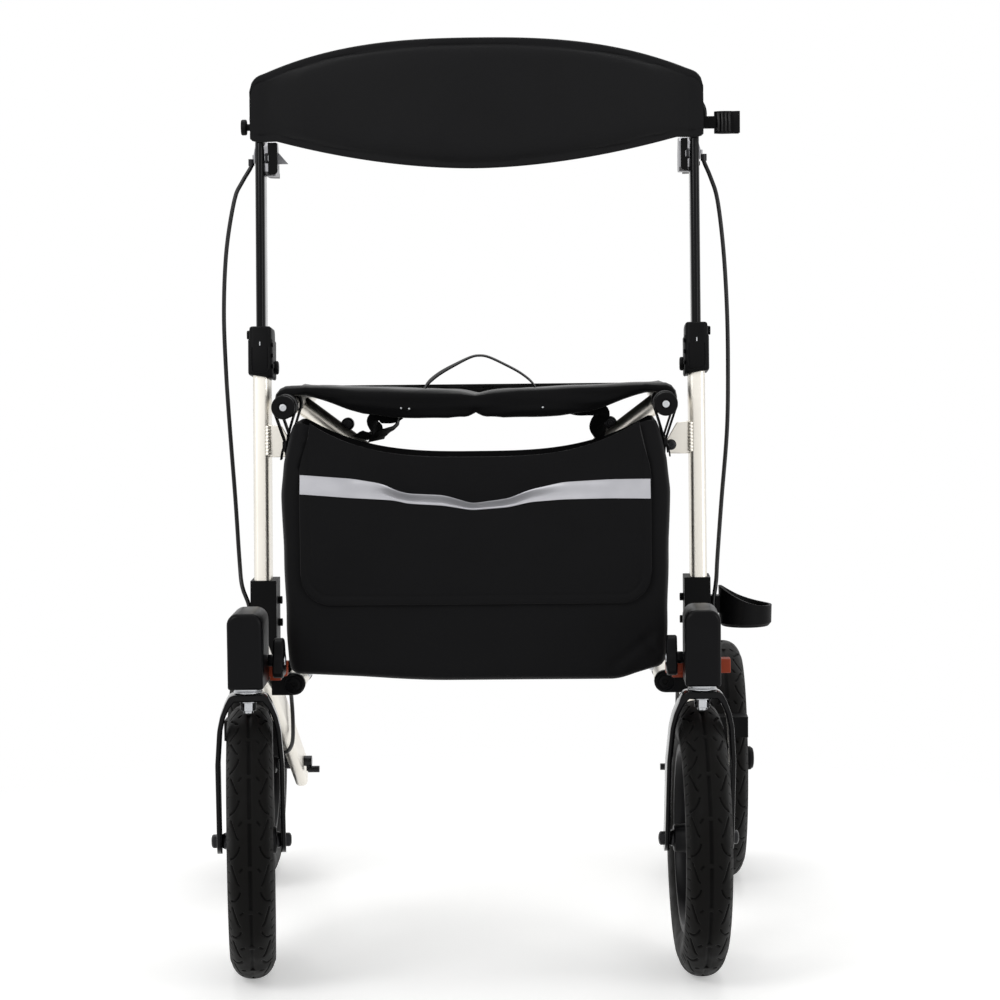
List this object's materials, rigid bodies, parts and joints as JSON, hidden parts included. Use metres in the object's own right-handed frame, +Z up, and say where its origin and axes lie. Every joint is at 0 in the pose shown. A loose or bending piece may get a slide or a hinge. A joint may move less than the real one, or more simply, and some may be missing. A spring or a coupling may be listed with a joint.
{
  "type": "all-terrain rollator",
  "caption": "Folding all-terrain rollator with large tyres, seat, padded backrest, hand brakes, locking casters, shopping bag and stick holder.",
  "frame": {"origin": "on the floor under the middle of the whole part", "axes": "+Z up, front towards -Y, the stick holder on the +X side"},
  "size_m": [0.6744, 0.8005, 1.0375],
  "materials": {
    "champagne_aluminium": "champagne anodised",
    "satin_black": "satin black powder coat",
    "black_plastic": "moulded black nylon",
    "rubber": "matt",
    "tyre": "matt black tyre rubber",
    "steel": "zinc plated",
    "red_plastic": "moulded red-orange",
    "black_fabric": "woven black nylon"
  },
  "bodies": {
    "left_frame": {"beam_left": "champagne_aluminium", "socket_left": "black_plastic", "upright_left": "champagne_aluminium", "height_clamp_left": "black_plastic", "rear_axle_left": "steel", "caster_housing_left": "black_plastic", "pivot_bracket_left": "black_plastic", "brake_cable_left": "black_plastic"},
    "right_frame": {"beam_right": "champagne_aluminium", "socket_right": "black_plastic", "upright_right": "champagne_aluminium", "height_clamp_right": "black_plastic", "rear_axle_right": "steel", "caster_housing_right": "black_plastic", "pivot_bracket_right": "black_plastic", "brake_cable_right": "black_plastic", "stick_cup": "black_plastic"},
    "left_handle": {"handle_tube_left": "satin_black", "grip_left": "rubber", "lever_mount_left": "black_plastic", "backrest": "black_fabric", "back_knob": "black_plastic"},
    "right_handle": {"handle_tube_right": "satin_black", "grip_right": "rubber", "lever_mount_right": "black_plastic", "stick_clip": "black_plastic"},
    "cross_a": {"cross_tube_a": "champagne_aluminium", "seat_rail_right": "champagne_aluminium", "cross_bolt": "steel"},
    "cross_b": {"cross_tube_b": "champagne_aluminium", "seat_rail_left": "champagne_aluminium"},
    "seat_and_bag": {"seat_sling": "black_fabric", "bag_body": "black_fabric"},
    "flap": {"bag_flap": "black_fabric"},
    "left_clamp_knob": {"clamp_knob_left": "black_plastic"},
    "left_brake_lever": {"brake_lever_left": "satin_black"},
    "left_brake_arm": {"brake_arm_left": "black_plastic"},
    "left_caster": {"caster_stem_left": "steel", "fork_left": "satin_black", "front_axle_left": "steel"},
    "left_front_wheel": {"front_rim_left": "black_plastic", "front_tyre_left": "tyre"},
    "left_rear_wheel": {"rear_rim_left": "black_plastic", "rear_tyre_left": "tyre", "hub_cap_left": "black_plastic"},
    "left_swivel_lock": {"swivel_lock_left": "red_plastic"},
    "left_hand_knob": {"hand_knob_left": "black_plastic"},
    "right_clamp_knob": {"clamp_knob_right": "black_plastic"},
    "right_brake_lever": {"brake_lever_right": "satin_black"},
    "right_brake_arm": {"brake_arm_right": "black_plastic"},
    "right_caster": {"caster_stem_right": "steel", "fork_right": "satin_black", "front_axle_right": "steel"},
    "right_front_wheel": {"front_rim_right": "black_plastic", "front_tyre_right": "tyre"},
    "right_rear_wheel": {"rear_rim_right": "black_plastic", "rear_tyre_right": "tyre", "hub_cap_right": "black_plastic"},
    "right_swivel_lock": {"swivel_lock_right": "red_plastic"},
    "right_hand_knob": {"hand_knob_right": "black_plastic"}
  },
  "joints": [
    {"name": "fold_left_pivot", "type": "hinge", "parent": "left_frame", "child": "cross_a", "pos_m": [-0.2105, -0.072, 0.3055], "axis": [0, -1, 0], "range_deg": [0, 40], "deforming": ["seat_sling", "bag_body", "bag_flap", "backrest"]},
    {"name": "fold_crossing", "type": "hinge", "parent": "cross_a", "child": "cross_b", "pos_m": [0, -0.0595, 0.4645], "axis": [0, -1, 0], "range_deg": [-80, 0]},
    {"name": "fold_right_pivot", "type": "hinge", "parent": "cross_b", "child": "right_frame", "pos_m": [0.2105, -0.047, 0.3055], "axis": [0, -1, 0], "range_deg": [0, 40]},
    {"name": "bag_lift", "type": "slide", "parent": "left_frame", "child": "seat_and_bag", "axis": [-0.6109, 0, 0.7917], "range_m": [0, 0.2483]},
    {"name": "flap_hinge", "type": "hinge", "parent": "seat_and_bag", "child": "flap", "pos_m": [0, -0.2153, 0.6], "axis": [-1, 0, 0], "range_deg": [0, 100]},
    {"name": "left_height", "type": "slide", "parent": "left_frame", "child": "left_handle", "axis": [0, 0.1045, 0.9945], "range_m": [-0.12, 0.02], "deforming": ["brake_cable_left"]},
    {"name": "left_clamp_knob_turn", "type": "hinge", "parent": "left_frame", "child": "left_clamp_knob", "pos_m": [-0.236, -0.02006, 0.661], "axis": [1, 0, 0], "range_deg": [0, 180]},
    {"name": "left_brake_squeeze", "type": "hinge", "parent": "left_handle", "child": "left_brake_lever", "pos_m": [-0.245, 0.034, 0.894], "axis": [1, 0, 0], "range_deg": [0, 14], "stiffness_Nm_per_rad": 2},
    {"name": "left_brake_press", "type": "hinge", "parent": "left_frame", "child": "left_brake_arm", "pos_m": [-0.2528, 0.1235, 0.199], "axis": [1, 0, 0], "range_deg": [-6, 0]},
    {"name": "left_caster_swivel", "type": "hinge", "parent": "left_frame", "child": "left_caster", "pos_m": [-0.244, -0.3, 0.328], "axis": [0, 0, 1], "continuous": true},
    {"name": "left_front_wheel_spin", "type": "hinge", "parent": "left_caster", "child": "left_front_wheel", "pos_m": [-0.24888, -0.25024, 0.15], "axis": [0.9952, 0.0976, 0], "continuous": true},
    {"name": "left_rear_wheel_spin", "type": "hinge", "parent": "left_frame", "child": "left_rear_wheel", "pos_m": [-0.296, 0.25, 0.15], "axis": [1, 0, 0], "continuous": true},
    {"name": "left_swivel_lock_flip", "type": "hinge", "parent": "left_frame", "child": "left_swivel_lock", "pos_m": [-0.244, -0.242, 0.3352], "axis": [1, 0, 0], "range_deg": [0, 25]},
    {"name": "left_hand_knob_turn", "type": "hinge", "parent": "left_frame", "child": "left_hand_knob", "pos_m": [-0.2247, -0.2745, 0.3525], "axis": [1, 0, 0], "range_deg": [0, 180]},
    {"name": "right_height", "type": "slide", "parent": "right_frame", "child": "right_handle", "axis": [0, 0.1045, 0.9945], "range_m": [-0.12, 0.02], "deforming": ["brake_cable_right"]},
    {"name": "right_clamp_knob_turn", "type": "hinge", "parent": "right_frame", "child": "right_clamp_knob", "pos_m": [0.236, -0.02006, 0.661], "axis": [1, 0, 0], "range_deg": [0, 180]},
    {"name": "right_brake_squeeze", "type": "hinge", "parent": "right_handle", "child": "right_brake_lever", "pos_m": [0.245, 0.034, 0.894], "axis": [1, 0, 0], "range_deg": [0, 14], "stiffness_Nm_per_rad": 2},
    {"name": "right_brake_press", "type": "hinge", "parent": "right_frame", "child": "right_brake_arm", "pos_m": [0.2528, 0.1235, 0.199], "axis": [1, 0, 0], "range_deg": [-6, 0]},
    {"name": "right_caster_swivel", "type": "hinge", "parent": "right_frame", "child": "right_caster", "pos_m": [0.244, -0.3, 0.328], "axis": [0, 0, 1], "continuous": true},
    {"name": "right_front_wheel_spin", "type": "hinge", "parent": "right_caster", "child": "right_front_wheel", "pos_m": [0.24182, -0.25005, 0.15], "axis": [0.999, 0.0436, 0], "continuous": true},
    {"name": "right_rear_wheel_spin", "type": "hinge", "parent": "right_frame", "child": "right_rear_wheel", "pos_m": [0.296, 0.25, 0.15], "axis": [1, 0, 0], "continuous": true},
    {"name": "right_swivel_lock_flip", "type": "hinge", "parent": "right_frame", "child": "right_swivel_lock", "pos_m": [0.244, -0.242, 0.3352], "axis": [1, 0, 0], "range_deg": [0, 25]},
    {"name": "right_hand_knob_turn", "type": "hinge", "parent": "right_frame", "child": "right_hand_knob", "pos_m": [0.2247, -0.2745, 0.3525], "axis": [1, 0, 0], "range_deg": [0, 180]}
  ],
  "couplings": [
    {"joint": "fold_crossing", "follows": "fold_left_pivot", "ratio": -2},
    {"joint": "fold_right_pivot", "follows": "fold_left_pivot", "ratio": 1},
    {"joint": "bag_lift", "follows": "fold_left_pivot", "m_per_rad": 0.355},
    {"joint": "left_brake_press", "follows": "left_brake_squeeze", "ratio": -0.4},
    {"joint": "right_brake_press", "follows": "right_brake_squeeze", "ratio": -0.4},
    {"joint": "right_height", "follows": "left_height", "ratio": 1}
  ]
}
